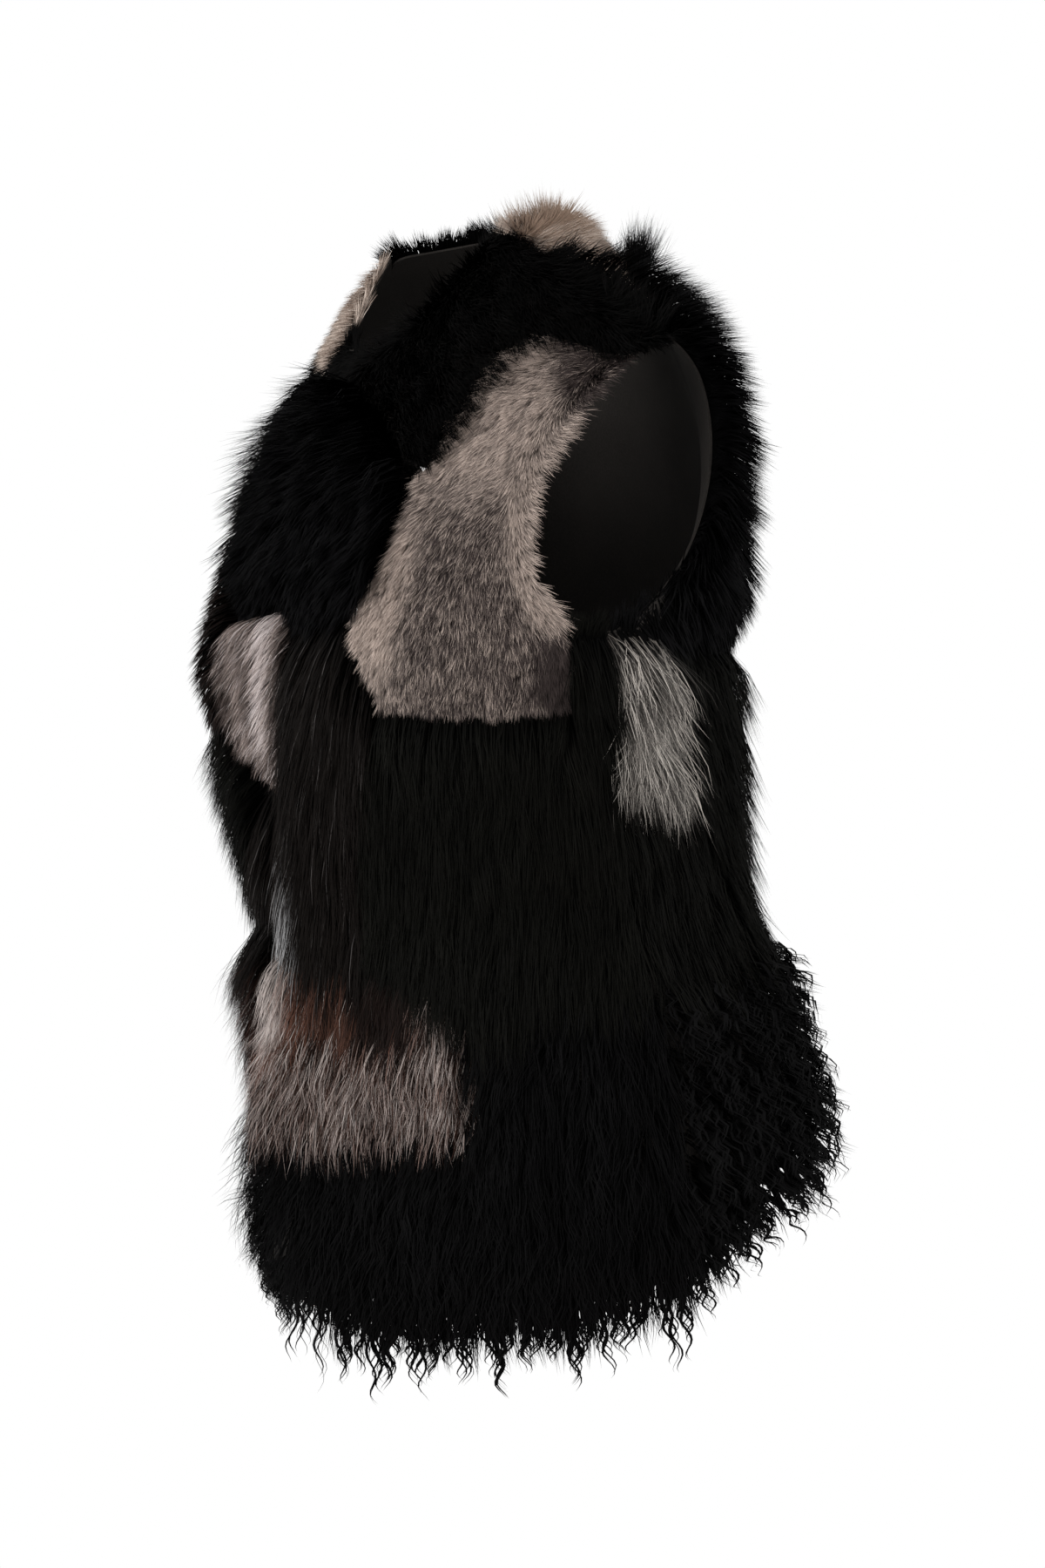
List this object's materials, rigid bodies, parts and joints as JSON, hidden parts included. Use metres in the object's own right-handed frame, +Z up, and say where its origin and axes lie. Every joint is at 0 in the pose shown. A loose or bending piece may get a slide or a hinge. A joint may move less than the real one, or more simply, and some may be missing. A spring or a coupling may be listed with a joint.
{
  "type": "fur gilet",
  "caption": "Sleeveless hip-length gilet of patchwork fur with a round neck, an edge-to-edge front and a curly lamb hem, in its worn hollow form.",
  "frame": {"origin": "midway between the two shoulder seams at the neck edge, where the wearer's shoulders hold the gilet up", "axes": "+Z up the wearer, -Y out of the front, +X to the wearer's left"},
  "size_m": [0.4178, 0.3407, 0.6827],
  "materials": {
    "black_short": "short black fur, matt",
    "black_long": "long black fur, soft sheen",
    "black_strip": "long glossy black fur",
    "black_body": "black fur, soft sheen",
    "brown_black": "brown-black fur, soft sheen",
    "grey": "short grey fur with a pale corner",
    "pale_stripe": "pale striped fur",
    "beige": "short beige fur",
    "fox": "long grey fox fur, rust at the top",
    "silver_fox": "long silver-white fox fur with dark tips",
    "lamb": "curly black lamb"
  },
  "bodies": {
    "root": {"back_body": "black_body", "back_hem_locks": "lamb", "back_lamb": "lamb", "back_left_fox_patch": "silver_fox", "back_neck_patch": "beige", "back_right_fox_patch": "silver_fox", "back_yoke": "black_long", "left_front_armhole_patch": "grey", "left_front_centre_strip": "black_strip", "left_front_chest": "black_long", "left_front_fox_panel": "fox", "left_front_hem_locks": "lamb", "left_front_lamb": "lamb", "left_front_shoulder": "black_short", "left_front_side": "black_body", "right_front_armhole_patch": "brown_black", "right_front_centre_patch": "pale_stripe", "right_front_centre_strip": "black_strip", "right_front_chest": "black_long", "right_front_fox_panel": "fox", "right_front_hem_locks": "lamb", "right_front_lamb": "lamb", "right_front_neck_patch": "beige", "right_front_shoulder": "black_short", "right_front_side": "black_body"}
  },
  "joints": []
}
